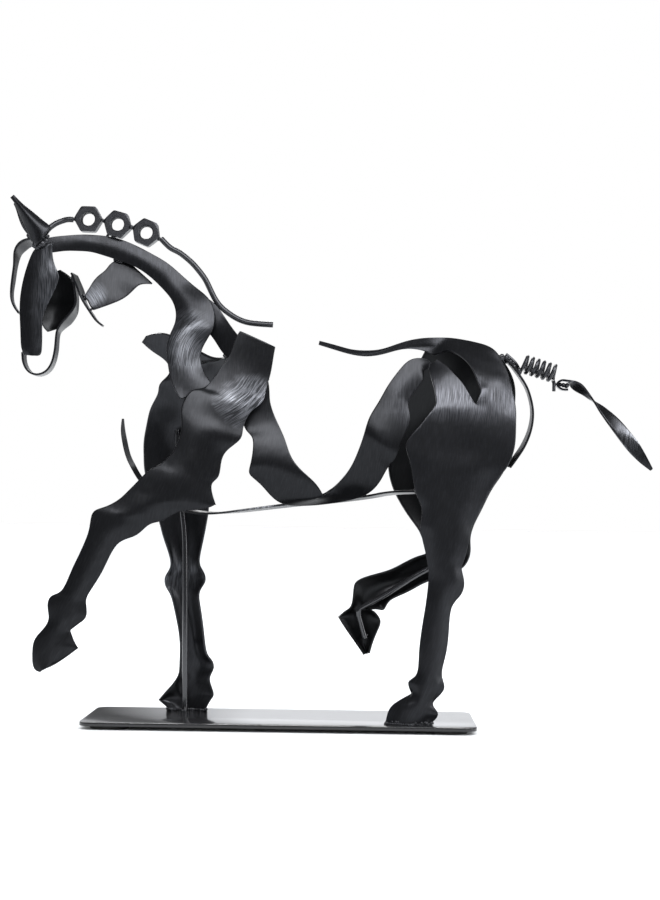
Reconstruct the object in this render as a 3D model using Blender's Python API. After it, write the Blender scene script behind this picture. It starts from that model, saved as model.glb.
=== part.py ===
"""Metal horse statue: a trotting horse welded up from cut sheet, strip, wire, nuts and a coil spring.

The horse is drawn once from the side, on a grid of 640 steps from its ear tip to its tail tip.
The grid's zero is the middle of the plate's upper face: u runs to the tail, w runs up.
Each point of the drawing is then moved along its line of sight to the depth of its own piece.
"""

import math

import bmesh
import bpy
from mathutils import Matrix, Vector

# The drawing: the horse's own length and the eye that sees it from the side
HORSE_LENGTH = 0.256
DRAWN_STEPS = 640
STEP = HORSE_LENGTH / DRAWN_STEPS
EYE_STEPS = (81, 208, 1935)
DRAWING_TURN = 0.015

# Stock that the statue is made of
BODY_SHEET = 0.0009
HEAD_SHEET = 0.0008
STRIP = 0.0008
SUPPORT_ROD = 0.0023
MANE_WIRE = 0.0023
SPRING_WIRE = 0.0015
WELD_GAP = 0.0003

# Plate and its feet
PLATE_LENGTH = 0.154
PLATE_DEPTH = 0.060
PLATE_THICKNESS = 0.0015
PLATE_CORNER_RADIUS = 0.005
FOOT_DIAMETER = 0.015
FOOT_THICKNESS = 0.0012
FOOT_TO_PLATE_END = 0.011
FOOT_TO_PLATE_SIDE = 0.010

# Nuts of the mane
NUT_ACROSS_FLATS = 0.010
NUT_THICKNESS = 0.005
NUT_BORE = 0.0052

# Tail spring
SPRING_DIAMETER = 0.008
SPRING_PITCH = 0.00235
SPRING_TURNS = 6

# Widths of strips that are seen on edge
HEAD_WIDTH = 0.008
TAIL_STRIP_WIDTH = 0.008

# How finely round forms are divided
CORNER_FACETS = 6
FOOT_FACETS = 24
BORE_FACETS = 18
COIL_FACETS = 12
SMOOTH_ANGLE = math.radians(50)

BLACKENED_STEEL = ("blackened_steel", (0.012, 0.012, 0.013, 1), 0.42, 0.85)
PLATE_PAINT = ("plate_paint", (0.010, 0.010, 0.011, 1), 0.30, 0.30)
RUBBER = ("rubber", (0.015, 0.015, 0.015, 1), 0.85, 0.0)

# One layer of sheet with its gap, and how far a sole's middle surface stands above the plate
LAYER = BODY_SHEET + WELD_GAP
SOLE_LIFT = WELD_GAP + BODY_SHEET / 4


def clear_scene():
    for thing in list(bpy.data.objects):
        bpy.data.objects.remove(thing, do_unlink=True)


def add_object(name, data, finish):
    """Link a mesh or curve as a named object with a material of its own."""
    kind, colour, roughness, metallic = finish
    material = bpy.data.materials.new(name + "_" + kind)
    material.use_nodes = True
    shader = material.node_tree.nodes["Principled BSDF"]
    shader.inputs["Base Color"].default_value = colour
    shader.inputs["Roughness"].default_value = roughness
    shader.inputs["Metallic"].default_value = metallic
    data.materials.append(material)
    thing = bpy.data.objects.new(name, data)
    bpy.context.scene.collection.objects.link(thing)
    return thing


def finish_mesh(name, bm, finish):
    bmesh.ops.recalc_face_normals(bm, faces=bm.faces)
    mesh = bpy.data.meshes.new(name)
    bm.to_mesh(mesh)
    bm.free()
    mesh.shade_smooth()
    mesh.set_sharp_from_angle(angle=SMOOTH_ANGLE)
    return add_object(name, mesh, finish)


def seen(u, w, depth):
    """The place of a drawn point once it stands at its depth, which runs away from the eye."""
    x = (u * math.cos(DRAWING_TURN) - w * math.sin(DRAWING_TURN)) * STEP
    z = (w * math.cos(DRAWING_TURN) + u * math.sin(DRAWING_TURN)) * STEP
    eye_x, eye_z, eye_distance = (value * STEP for value in EYE_STEPS)
    reach = 1 + depth / eye_distance
    return Vector((eye_x + (x - eye_x) * reach, depth, eye_z + (z - eye_z) * reach))


def smooth_line(knots, per_gap):
    """Points on a smooth curve through the knots, each a tuple of numbers."""
    line = []
    last = len(knots) - 1
    for i in range(last):
        a, b, c, d = (knots[max(0, min(last, i + k))] for k in (-1, 0, 1, 2))
        for step in range(per_gap):
            t = step / per_gap
            line.append(tuple(
                0.5 * (2 * q + (r - p) * t + (2 * p - 5 * q + 4 * r - s) * t * t
                       + (3 * q - p - 3 * r + s) * t ** 3)
                for p, q, r, s in zip(a, b, c, d)))
    line.append(tuple(knots[last]))
    return line


def along(stops, share):
    """Values at a share of the way, between stops of (share, value, value ...)."""
    for low, high in zip(stops, stops[1:]):
        if share <= high[0]:
            t = (share - low[0]) / (high[0] - low[0])
            return [p + (q - p) * t for p, q in zip(low[1:], high[1:])]
    return list(stops[-1][1:])


def surface(edges, depths, columns, per_gap=1, stand=0.0):
    """Rows of places across a sheet that is drawn by its two edges.

    edges holds (front u, front w, back u, back w) from one end of the sheet to the other.
    depths holds stops of (share of the way, front depth, back depth, swell), in steps.
    stand moves the whole sheet back by a real distance, such as one layer of sheet.
    """
    stations = smooth_line(edges, per_gap)
    rows = []
    for i, (front_u, front_w, back_u, back_w) in enumerate(stations):
        front, back, swell = along(depths, i / (len(stations) - 1))
        row = []
        for column in range(columns + 1):
            t = column / columns
            depth = front + (back - front) * t + swell * 4 * t * (1 - t)
            row.append(seen(front_u + (back_u - front_u) * t,
                            front_w + (back_w - front_w) * t, depth * STEP + stand))
        rows.append(row)
    return rows


def set_down(rows):
    """Level a sheet's last row just above the plate."""
    for place in rows[-1]:
        place.z = SOLE_LIFT


def add_rows(bm, rows):
    """A skin of four-sided faces over the rows; gives back its corners row by row."""
    grid = [[bm.verts.new(place) for place in row] for row in rows]
    for upper, lower in zip(grid, grid[1:]):
        join_rows(bm, upper, lower)
    return grid


def join_rows(bm, upper, lower):
    for i in range(len(upper) - 1):
        bm.faces.new((upper[i], upper[i + 1], lower[i + 1], lower[i]))


def sheet_object(name, bm, thickness):
    """A skin given the thickness of its stock, half to each side."""
    thing = finish_mesh(name, bm, BLACKENED_STEEL)
    solid = thing.modifiers.new("thickness", "SOLIDIFY")
    solid.thickness = thickness
    solid.offset = 0
    solid.use_even_offset = True
    return thing


def sheet(name, edges, depths, columns, thickness=BODY_SHEET, per_gap=1, stand=0.0, on_plate=False):
    rows = surface(edges, depths, columns, per_gap, stand)
    if on_plate:
        set_down(rows)
    bm = bmesh.new()
    add_rows(bm, rows)
    return sheet_object(name, bm, thickness)


def band(name, knots, thickness, per_gap=2, move=Vector()):
    """A strip that follows a drawn line: knots of (u, w, depth, width, turn).

    At turn 0 the strip is seen on edge, and at 90 degrees it faces the eye.
    move shifts the whole strip by a real distance.
    """
    line = smooth_line(knots, per_gap)
    centres = [seen(u, w, depth * STEP) + move for u, w, depth, width, turn in line]
    bm = bmesh.new()
    loops = []
    for i, centre in enumerate(centres):
        ahead = centres[min(i + 1, len(centres) - 1)] - centres[max(i - 1, 0)]
        ahead.normalize()
        flat = Vector((0, 1, 0)) - ahead * ahead.y
        flat.normalize()
        turned = Matrix.Rotation(math.radians(line[i][4]), 3, ahead) @ flat
        across = turned * (line[i][3] * STEP / 2)
        through = ahead.cross(turned) * (thickness / 2)
        corners = (across + through, across - through, -across - through, through - across)
        loops.append([bm.verts.new(centre + corner) for corner in corners])
    for first, second in zip(loops, loops[1:]):
        for k in range(4):
            bm.faces.new((first[k], first[(k + 1) % 4], second[(k + 1) % 4], second[k]))
    bm.faces.new(loops[0])
    bm.faces.new(loops[-1])
    return finish_mesh(name, bm, BLACKENED_STEEL)


def wire(name, places, diameter, bevel_resolution=2):
    """A round wire with closed ends through real places."""
    curve = bpy.data.curves.new(name, "CURVE")
    curve.dimensions = "3D"
    curve.bevel_depth = diameter / 2
    curve.bevel_resolution = bevel_resolution
    curve.use_fill_caps = True
    spline = curve.splines.new("POLY")
    spline.points.add(len(places) - 1)
    for point, place in zip(spline.points, places):
        point.co = (*place, 1)
    spline.use_smooth = True
    return add_object(name, curve, BLACKENED_STEEL)


def drawn_wire(name, knots, diameter, per_gap=2):
    """A wire through knots of (u, w, depth)."""
    places = [seen(u, w, depth * STEP) for u, w, depth in smooth_line(knots, per_gap)]
    return wire(name, places, diameter)


def steps(length):
    """A real length in steps of the drawing."""
    return length / STEP


def base_plate():
    """Flat plate with rounded corners; its upper face is at height 0."""
    half_length = PLATE_LENGTH / 2 - PLATE_CORNER_RADIUS
    half_depth = PLATE_DEPTH / 2 - PLATE_CORNER_RADIUS
    outline = []
    for quarter, (sign_x, sign_y) in enumerate(((1, 1), (-1, 1), (-1, -1), (1, -1))):
        for facet in range(CORNER_FACETS + 1):
            angle = (quarter + facet / CORNER_FACETS) * math.pi / 2
            outline.append((sign_x * half_length + PLATE_CORNER_RADIUS * math.cos(angle),
                            sign_y * half_depth + PLATE_CORNER_RADIUS * math.sin(angle)))
    bm = bmesh.new()
    face = bm.faces.new([bm.verts.new((x, y, -PLATE_THICKNESS)) for x, y in outline])
    raised = bmesh.ops.extrude_face_region(bm, geom=[face])["geom"]
    corners = [item for item in raised if isinstance(item, bmesh.types.BMVert)]
    bmesh.ops.translate(bm, vec=(0, 0, PLATE_THICKNESS), verts=corners)
    finish_mesh("base_plate", bm, PLATE_PAINT)


def rubber_feet():
    """A round pad under each corner of the plate."""
    for side, sign_y in (("front", -1), ("back", 1)):
        for end, sign_x in (("left", -1), ("right", 1)):
            bm = bmesh.new()
            place = Matrix.Translation((sign_x * (PLATE_LENGTH / 2 - FOOT_TO_PLATE_END),
                                        sign_y * (PLATE_DEPTH / 2 - FOOT_TO_PLATE_SIDE),
                                        -PLATE_THICKNESS - WELD_GAP - FOOT_THICKNESS / 2))
            bmesh.ops.create_cone(bm, cap_ends=True, segments=FOOT_FACETS,
                                  radius1=FOOT_DIAMETER / 2, radius2=FOOT_DIAMETER / 2,
                                  depth=FOOT_THICKNESS, matrix=place)
            finish_mesh(f"foot_{side}_{end}", bm, RUBBER)


def near_foreleg():
    """Shoulder blade, forearm, knee, cannon and hoof of the raised foreleg, in one sheet."""
    edges = [
        (-41, 386, -6, 370), (-46, 377, -8, 359), (-52, 360, -11, 342), (-64, 343, -15, 329),
        (-76, 329, -19, 315), (-89, 326, -30, 306), (-99, 310, -38, 290), (-99, 293, -41, 278),
        (-102, 276, -53, 268), (-110, 262, -60, 256), (-121, 252, -63, 240), (-131, 247, -70, 231),
        (-142, 236, -65.5, 212.5), (-152, 226, -79, 208), (-162, 217, -102, 206), (-175, 210, -118, 197),
        (-186, 206, -132, 193), (-190, 197, -145, 182), (-193, 182, -162, 175),
        (-202, 161, -174, 156), (-210, 144, -183, 139), (-219, 126, -193, 123),
        (-229, 121, -195, 113), (-233, 111, -195, 101), (-232, 97, -202, 94), (-239, 86, -211, 87),
        (-246, 77, -207, 76), (-248, 65, -203, 69), (-247, 50, -219, 58), (-241, 45, -231, 51)]
    depths = [(0, -25, -17, -2), (0.07, -27, -19, -3), (0.24, -45, -37, -5), (0.38, -49, -44, -5),
              (0.55, -52, -49, -4), (0.75, -53, -51, -4), (1, -54, -52, -4)]
    sheet("near_foreleg", edges, depths, 6)


def far_foreleg():
    """Shoulder flap, forearm, cannon and hoof of the standing foreleg, open towards the eye."""
    edges = [
        (-139, 375, -135, 381), (-130, 367, -123, 384), (-121, 361, -109, 381),
        (-114, 355, -91, 372), (-111, 348, -70, 359.5), (-113, 341, -55, 359.5), (-121, 333, -57, 342),
        (-123, 323, -59, 327), (-130, 309, -66, 312), (-134, 293, -73, 297), (-137, 276, -76, 280),
        (-137, 261, -77, 264), (-136, 245, -78, 247), (-131, 225, -76, 227), (-127, 210, -73, 212),
        (-122, 197, -74, 199), (-118, 182, -77, 183), (-113, 167, -80, 169), (-110, 151, -82, 154),
        (-115, 141, -78, 145), (-115, 131, -76.5, 135), (-110, 122, -82, 125),
        (-106, 107, -81, 109), (-102, 87, -78, 87), (-100.5, 69, -75, 65), (-101, 53, -70, 57),
        (-102, 43, -68, 48), (-107, 34, -72, 38), (-115, 25, -68, 24), (-122, 17, -71, 17),
        (-111, 9, -76, 8)]
    depths = [(0, 28, 26, 0), (0.1, 30, 4, 3), (0.15, 32, -15, 8), (0.19, 33, -10, 8),
              (0.3, 45, 32, 10), (0.36, 47, 43, 10), (0.42, 46, 46, 10), (1, 48, 48, 9)]
    sheet("far_foreleg", edges, depths, 6, on_plate=True)


def near_haunch():
    """Spine strap, hip and haunch with a slit between them, and the standing hind leg below."""
    leg = [
        (155, 313, 234, 311), (150, 305, 234.5, 297), (139, 291, 234, 277), (126, 275, 231, 262),
        (128, 260, 225, 249), (131.5, 243, 217, 239), (135, 224, 206, 222), (141, 209, 198, 206),
        (140, 192, 190, 190), (140.5, 183, 187, 174), (145, 164, 182.5, 157),
        (148, 147, 180, 148), (148, 136, 182.5, 135), (147, 125, 179, 122), (145, 110, 170, 110),
        (141, 85, 167, 85), (138.5, 62, 164, 62), (136, 42, 160, 42), (128, 35, 162.5, 28),
        (131, 23, 152, 16), (116, 14.5, 154, 8), (108, 6, 156, 1), (105, -6, 149, -8)]
    leg_depths = [(0, -51, -27, -4), (0.045, -53.5, -30, -4), (0.09, -56, -33, -4.5),
                  (0.136, -57.5, -35, -5), (0.18, -58, -37, -5.5), (0.34, -55, -44, -8),
                  (0.42, -52, -50, -7), (1, -50, -50, -8)]
    hip = [(149, 352, 156, 357), (149, 346, 165, 351), (150.5, 338, 173, 343),
           (153, 330, 181, 334), (154.5, 322, 187, 324)]
    hip_depths = [(0, -31, -30, 0), (0.25, -35.5, -33.5, 0), (0.5, -41, -38, 0),
                  (0.75, -45, -40, 0), (1, -48.5, -42, 0)]
    strap = [
        (38, 372, 39, 376), (54, 367, 56, 371.5), (70, 362.5, 71, 367.5), (86, 360.6, 86, 366.5),
        (104, 363.2, 102, 368.2), (124, 368, 121, 374.5), (143, 366, 140, 378.5),
        (154, 362.4, 157, 379), (165, 366.3, 169, 378.4), (175, 363.5, 182, 376.5),
        (184, 357, 197, 373.2), (192, 347, 212, 367), (198, 333, 222, 353), (199.7, 324, 229, 335)]
    strap_depths = [(0, 0, 0, 0), (0.5, -2, -1.5, 0), (0.69, -16, -2, -1), (0.77, -22, -3, -1),
                    (0.85, -29, -6, -1.5), (0.92, -35.5, -12, -1.5), (1, -40, -19, -1)]
    bm = bmesh.new()
    leg_rows = surface(leg, leg_depths, 8)
    set_down(leg_rows)
    leg_grid = add_rows(bm, leg_rows)
    hip_grid = add_rows(bm, surface(hip, hip_depths, 4))
    strap_grid = add_rows(bm, surface(strap, strap_depths, 4))
    join_rows(bm, hip_grid[-1], leg_grid[0][:5])
    join_rows(bm, strap_grid[-1], leg_grid[0][4:])
    sheet_object("near_haunch", bm, BODY_SHEET)


def far_haunch():
    """Far haunch and the raised hind leg, open towards the eye."""
    edges = [
        (150, 376.5, 214, 364), (137, 351, 227, 348), (127, 327, 233.5, 329), (117, 302, 233, 307),
        (110, 277, 231, 277), (108, 253, 224, 249), (110, 237, 211, 229), (116, 221, 201, 209),
        (128, 201, 193, 193), (138, 187, 189, 178), (143, 175, 189, 165), (146, 166, 183, 151),
        (143, 162, 167, 142), (134, 159, 147, 136), (120, 152, 133, 129), (107, 146, 120, 122.5),
        (91, 141.5, 108, 116), (77, 136, 103, 108), (73, 127, 97, 108), (71, 112, 90, 107.5),
        (65, 106, 94, 104), (57.5, 100, 99, 96), (64, 90, 96, 86), (74, 76, 91, 74),
        (83, 63, 88, 64)]
    depths = [(0, 1.8, 1.8, 0), (0.06, 25, 8, 18), (0.13, 38, 13, 30), (0.2, 38, 14, 30),
              (0.33, 44, 34, 12), (0.42, 46, 46, 9), (1, 46, 46, 7)]
    sheet("far_haunch", edges, depths, 6)


def flank_ribbon():
    """One strip from behind the near shoulder, under the belly and up the flank to the hip."""
    edges = [
        (-41, 340, -16, 350), (-43, 322, -12, 331), (-41, 305, -11, 315), (-35, 287, -5, 297),
        (-28, 277, 3, 279), (-30, 255, 9, 262), (-31, 243, 19, 248), (-19, 232, 33, 235),
        (-3, 216, 40, 225), (19, 212, 42, 222), (44, 213.5, 46, 224.5), (69, 217.6, 53, 229.5),
        (87, 224, 62, 239), (99, 236, 71, 252), (107, 250, 79, 270), (115, 261, 84, 285),
        (123, 281, 89, 300), (129, 298, 98, 315), (127, 313, 107, 331), (134, 326, 118, 346),
        (142, 338, 128, 356), (143, 346, 139, 358.5), (152, 350, 148, 356.5)]
    depths = [(0, -18, -17, 0), (0.14, -23, -19, -1), (0.24, -34, -27, -2), (0.42, -5, -20, -2),
              (0.5, -5, -18, 0), (0.68, -50, -47, -2), (0.86, -39, -37, -2), (0.95, -31, -30, -1),
              (1, -30, -30, 0)]
    sheet("flank_ribbon", edges, depths, 4, stand=LAYER)


def neck():
    """Crest from the poll to the withers, then the lobe that runs down behind the shoulder."""
    edges = [
        (-236, 464, -238, 477), (-228, 464.5, -230, 479.5), (-216, 466, -216, 481),
        (-203, 466, -200, 482), (-190, 465, -187, 481.5), (-177, 461.5, -172, 480),
        (-166, 458, -157, 476), (-154, 454, -141, 469), (-140, 447, -128, 462),
        (-127, 437, -113, 453), (-117, 427, -98, 440), (-109, 417, -84, 428),
        (-105, 406, -72, 417), (-105, 397, -67, 404), (-107, 390, -67, 396),
        (-111, 381, -70, 385), (-114, 368, -79, 369), (-113, 354, -80.5, 355),
        (-111.5, 344, -77, 344), (-108, 331, -71, 335), (-100, 318, -66, 325)]
    depths = [(0, -11.5, -11.5, 0), (0.2, -2, -1, -1.5), (0.5, -5, -3, -2), (0.65, -16, -10, -6),
              (0.85, -29, -22, -5), (1, -36, -31, 0)]
    sheet("neck", edges, depths, 5, stand=LAYER)


def withers_strap():
    """Short strap from the neck's back edge to the top of the near shoulder."""
    edges = [(-84, 392, -84, 422), (-72, 384, -70, 416), (-63, 372, -58, 402),
             (-55, 361, -46, 385), (-45, 352, -36, 374)]
    depths = [(0, -7, -3, 0), (0.5, -13, -9, -1), (1, -27, -25, 0)]
    sheet("withers_strap", edges, depths, 3, stand=2 * LAYER)


def throat_strap():
    """Tongue of sheet that hangs forward from under the neck towards the jaw."""
    edges = [(-128, 433, -158, 460), (-138, 433, -169, 454), (-145, 429.5, -175, 447),
             (-154, 421, -181, 442), (-165, 415, -187, 436), (-178, 410, -192, 428),
             (-188, 406.5, -196, 421)]
    depths = [(0, 0, 0, 0), (0.5, -6, -5, -1), (1, -17, -15, -1.5)]
    sheet("throat_strap", edges, depths, 4, stand=2 * LAYER)


def throat_bar():
    """Thin plate seen on edge, from the jaw down past the tip of the throat strap."""
    knots = [(-206.8, 442.5, -4, 14, 12), (-200.8, 428, -8, 20, 8), (-198.8, 421, -10, 22, 4),
             (-196, 414, -11, 22, 0), (-190, 404.5, -12, 20, 0), (-184, 396, -12, 16, 0),
             (-178, 391, -12, 10, 0)]
    band("throat_bar", knots, STRIP)


def mane_nuts():
    """Three hex nuts on edge along the crest, each a corner apart from the next."""
    pitch = steps(NUT_ACROSS_FLATS / math.cos(math.pi / 6) + WELD_GAP)
    middle = (-163, 492.2)
    first_fall = math.radians(10)
    last_fall = math.radians(16)
    centres = (
        (middle[0] - pitch * math.cos(first_fall), middle[1] + pitch * math.sin(first_fall), 0),
        (middle[0], middle[1], 14),
        (middle[0] + pitch * math.cos(last_fall), middle[1] - pitch * math.sin(last_fall), 21))
    for number, (u, w, fall) in enumerate(centres, 1):
        turn = Matrix.Rotation(math.radians(fall) + DRAWING_TURN, 4, "Y")
        place = Matrix.Translation(seen(u, w, 0)) @ turn @ Matrix.Rotation(math.pi / 2, 4, "X")
        bm = bmesh.new()
        hexagon = ring(bm, 6, NUT_ACROSS_FLATS / 2 / math.cos(math.pi / 6), NUT_THICKNESS / 2)
        hexagon_back = ring(bm, 6, NUT_ACROSS_FLATS / 2 / math.cos(math.pi / 6), -NUT_THICKNESS / 2)
        bore = ring(bm, BORE_FACETS, NUT_BORE / 2, NUT_THICKNESS / 2)
        bore_back = ring(bm, BORE_FACETS, NUT_BORE / 2, -NUT_THICKNESS / 2)
        for first, second in ((hexagon, bore), (bore, bore_back), (bore_back, hexagon_back),
                              (hexagon_back, hexagon)):
            bmesh.ops.bridge_loops(bm, edges=first + second)
        bmesh.ops.transform(bm, matrix=place, verts=bm.verts)
        finish_mesh(f"mane_nut_{number}", bm, BLACKENED_STEEL)
    return centres


def ring(bm, sides, radius, height):
    """A flat loop of edges round the Z axis; gives back the edges."""
    corners = []
    for side in range(sides):
        angle = 2 * math.pi * side / sides
        corners.append(bm.verts.new((radius * math.cos(angle), radius * math.sin(angle), height)))
    return [bm.edges.new((corners[i - 1], corners[i])) for i in range(sides)]


def mane_wires(nuts):
    """Wire from the poll to the first nut, and from the last nut down behind the withers."""
    reach = steps(NUT_ACROSS_FLATS / 2 / math.cos(math.pi / 6) + 1.5 * WELD_GAP)
    first_u, first_w, first_fall = nuts[0]
    last_u, last_w, last_fall = nuts[2]
    front = [(-237, 482, -8), (-232.5, 488, -5), (-226, 493, -2), (-219, 496, 0), (-213, 497.5, 0),
             (first_u - reach, first_w, 0)]
    rear = [(last_u + reach * math.cos(math.radians(last_fall)),
             last_w - reach * math.sin(math.radians(last_fall)), 0),
            (-111, 469.5, 0), (-101, 464, 0), (-91, 456, 0), (-83.5, 448, 0), (-76, 438, 0),
            (-71, 428, 0), (-66, 418, 0), (-60, 410, 0), (-52, 403.5, 0), (-43, 398, 0),
            (-33, 394.5, 0), (-21, 393, 0), (-8, 392.2, 0)]
    drawn_wire("mane_wire_front", front, MANE_WIRE)
    drawn_wire("mane_wire_rear", rear, MANE_WIRE)


def face_plate():
    """Near side of the face, from the poll to the muzzle."""
    edges = [(-246, 467, -229, 474), (-250, 460, -228, 458), (-254, 449, -224, 446),
             (-258, 434, -223, 436), (-260.5, 417, -231, 418), (-260.7, 401, -238, 401),
             (-260, 385, -239, 384), (-259, 369, -239.4, 368), (-255, 362, -241, 361.4)]
    half_width = steps(HEAD_WIDTH / 2)
    sheet("face_plate", edges, [(0, -half_width, -half_width, -2), (0.4, -half_width, -half_width, -4),
                                (1, -half_width, -half_width, -3)],
          5, thickness=HEAD_SHEET, stand=-HEAD_SHEET / 2 - WELD_GAP)


def cheek_plate():
    """Dished far cheek, seen from inside."""
    edges = [(-229, 445, -221, 447), (-237, 437, -209, 438), (-241, 425, -204, 425),
             (-242, 413, -204, 413), (-241, 401, -208, 401), (-238, 391, -216, 393),
             (-233, 385, -224, 388)]
    half_width = steps(HEAD_WIDTH / 2)
    sheet("cheek_plate", edges, [(0, half_width, half_width, 1), (0.5, half_width, half_width, 8),
                                 (1, half_width, half_width, 1)],
          5, thickness=HEAD_SHEET, stand=HEAD_SHEET / 2 + WELD_GAP)


def head_strips():
    """Strip over the poll, forehead and nose, and the strip round the jaw and chin."""
    width = steps(HEAD_WIDTH)
    profile = [(-243, 471.5, 0, width, 4), (-247, 475, 0, width, 8), (-253, 474, 0, width, 14),
               (-259, 470, 0, width, 16), (-263.5, 463, 0, width, 8), (-265.5, 451, 0, width * 0.9, 0),
               (-267.5, 437, 0, width * 0.8, 0), (-269, 425, -1, width * 0.6, 0),
               (-268.4, 416, -3, width * 0.5, 0), (-265.5, 409, -5, width * 0.4, 0),
               (-261.5, 403.5, -5.8, width * 0.4, 0)]
    jaw = [(-208.5, 438, 0, width, 0), (-206, 432, 0, width, 0), (-204.3, 421, 0, width, 0),
           (-204.3, 412, 0, width, 0), (-207, 404, 0, width, 8), (-213, 396, 0, width, 12),
           (-219, 390, 0, width, 6), (-223, 383, 0, width, 0), (-224.5, 368, 0, width, 0),
           (-227, 356, 0, width, 0), (-231, 348, 0, width, 0), (-236.5, 343.5, 0, width, 0),
           (-243, 342, 0, width, 0), (-249.5, 344, 0, width, 0), (-254, 349, 0, width, 0),
           (-256.5, 356, 0, width, 0), (-257, 364, 0, width, 0)]
    band("profile_strip", profile, STRIP)
    band("chin_strip", jaw, STRIP)


def ears():
    """Two pointed ears of folded sheet at the poll."""
    near = [(-270, 519.5, -267.4, 521.5), (-265, 512.5, -258.5, 512.6), (-260.5, 502, -249, 505),
            (-255.5, 491, -237, 495), (-250, 480, -231, 489), (-245, 471, -234, 483)]
    sheet("near_ear", near, [(0, -14, -14, 0), (0.5, -14, -15, -6), (1, -16, -17, -5)],
          4, thickness=HEAD_SHEET)
    far = [(-267, 513.4, -264.6, 515), (-264.5, 508, -258, 508), (-262, 500, -252, 501),
           (-258, 490, -243, 492), (-252, 482, -238, 486)]
    sheet("far_ear", far, [(0, 16, 16, 0), (0.5, 15, 15, 5), (1, 13, 13, 4)],
          4, thickness=HEAD_SHEET)


def belly_strip():
    """Narrow strip that rises before the chest, runs under the belly and ends at the hind leg."""
    knots = [(-158, 298, -20, 2, 90), (-158, 288, -22, 4, 88), (-156.5, 277, -24, 5, 84),
             (-153, 262, -26, 5, 80), (-147, 249, -29, 5, 76), (-138, 235, -38, 5, 70),
             (-122, 220, -42, 6, 50), (-98, 208, -39, 7, 30), (-72, 204, -35, 8, 8),
             (-45, 205.5, -22, 9, -8), (-11, 209.5, -4, 10, -14), (20, 213, 5, 10, -15),
             (54, 216, 6, 10, -15), (87, 220, 4, 10, -15), (104, 223, -12, 10, -15),
             (119, 224.5, -33, 9, -14), (138, 225, -50, 8, -12)]
    band("belly_strip", knots, STRIP)


def tail_loop():
    """Strap bent in a C from the top of the rump to the back of the thigh."""
    width = steps(TAIL_STRIP_WIDTH)
    knots = [(221.3, 359.3, 0, width, 0), (229.2, 352.6, 0, width, 0), (238, 341, 0, width, 0),
             (245, 329.5, 0, width, 0), (249, 318, 0, width, 0), (251, 306, 0, width, -1),
             (250.2, 294, 0, width, -3), (247, 282, 0, width, -5), (241.4, 270, 0, width, -7),
             (234.4, 259.5, 0, width, -8), (227.4, 250, 0, width, -8)]
    band("tail_loop", knots, STRIP)


def tail_spring():
    """Wire that leads in over the rump, coils on an axis that falls to the tail, and hooks down.

    Gives back the hook's place that the tail ribbon hangs on.
    """
    coil_radius = (SPRING_DIAMETER - SPRING_WIRE) / 2
    start = seen(241.6, 353.5, 0)
    fall = math.radians(17)
    axis = Vector((math.cos(fall), 0, -math.sin(fall)))
    up = Vector((math.sin(fall), 0, math.cos(fall)))
    coil = []
    count = round(SPRING_TURNS * COIL_FACETS)
    for i in range(count + 1):
        angle = 2 * math.pi * i / COIL_FACETS
        radial = up * -math.cos(angle) + Vector((0, -math.sin(angle), 0))
        coil.append(start + axis * (SPRING_PITCH * i / COIL_FACETS) + radial * coil_radius)
    lead_in = [seen(u, w, depth * STEP) for u, w, depth in
               smooth_line([(224.8, 362.8, 0), (231.9, 356.6, 0), (236, 351.5, 1), (237.8, 347.6, 3)], 2)]
    hook = [coil[-1] + Vector((0, back * coil_radius, -drop * coil_radius))
            for drop, back in ((0.3, -0.35), (0.75, -0.4), (1.15, -0.3))]
    wire("tail_spring", lead_in + coil + hook, SPRING_WIRE, 1)
    return hook[0]


def tail_ribbon(hook):
    """Twisting ribbon that starts in a rolled eye beside the spring's hook."""
    eye = [(287, 326.9, 0, 10, 0), (281.5, 327.2, 0, 10, 0), (277, 330.3, 0, 10, 0),
           (277.2, 334, 0, 10, 0), (281, 336.2, 0, 10, 0), (286, 335.8, 0, 10, 0),
           (290, 334, 0, 10, -18)]
    blade = [(294, 331.5, 0, 11, -38), (299, 328.3, 0, 11, -42), (304.5, 323.8, 0, 8, -36),
             (309.5, 318.8, 0, 6, -18), (314, 314.5, 0, 6, 10), (320, 308.5, 0, 9, 40),
             (328, 300, 0, 12.5, 52), (336, 291, 0, 14, 60), (345, 279.5, 0, 13.5, 74),
             (354, 268, 0, 12.5, 92), (363, 256.5, 0, 8.5, 100), (371, 247, 0, 3, 104)]
    eye_end = seen(276.6, 332.2, 0)
    reach = SPRING_WIRE / 2 + WELD_GAP + STRIP / 2
    band("tail_ribbon", eye + blade, STRIP, move=hook + Vector((reach, -hook.y, 0)) - eye_end)


def support_rod():
    """Upright rod in the hollow of the standing foreleg, with its foot on the plate."""
    leg_depth = 48
    depth = leg_depth - steps(BODY_SHEET / 2 + WELD_GAP + SUPPORT_ROD / 2)
    places = [seen(u, w, depth * STEP) for u, w in
              smooth_line([(-96, 8), (-96, 60), (-96, 120), (-96.3, 176), (-99, 207), (-102, 248),
                           (-104, 287)], 2)]
    places[0].z = WELD_GAP
    wire("support_rod", places, SUPPORT_ROD)


def hind_leg_rod():
    """Bent rod along the raised hind leg, in the hollow of its cannon and down to the hoof."""
    cannon_depth = 49
    depth = cannon_depth - steps(BODY_SHEET / 2 + WELD_GAP + SUPPORT_ROD / 2)
    knots = [(156, 153, depth), (147, 148, depth), (134, 141, depth), (119, 131.5, depth),
             (99, 119, depth), (82, 110, depth), (77.5, 105, depth), (79.5, 94, depth + 1),
             (84, 78.5, depth + 2)]
    drawn_wire("hind_leg_rod", knots, SUPPORT_ROD)


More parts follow.
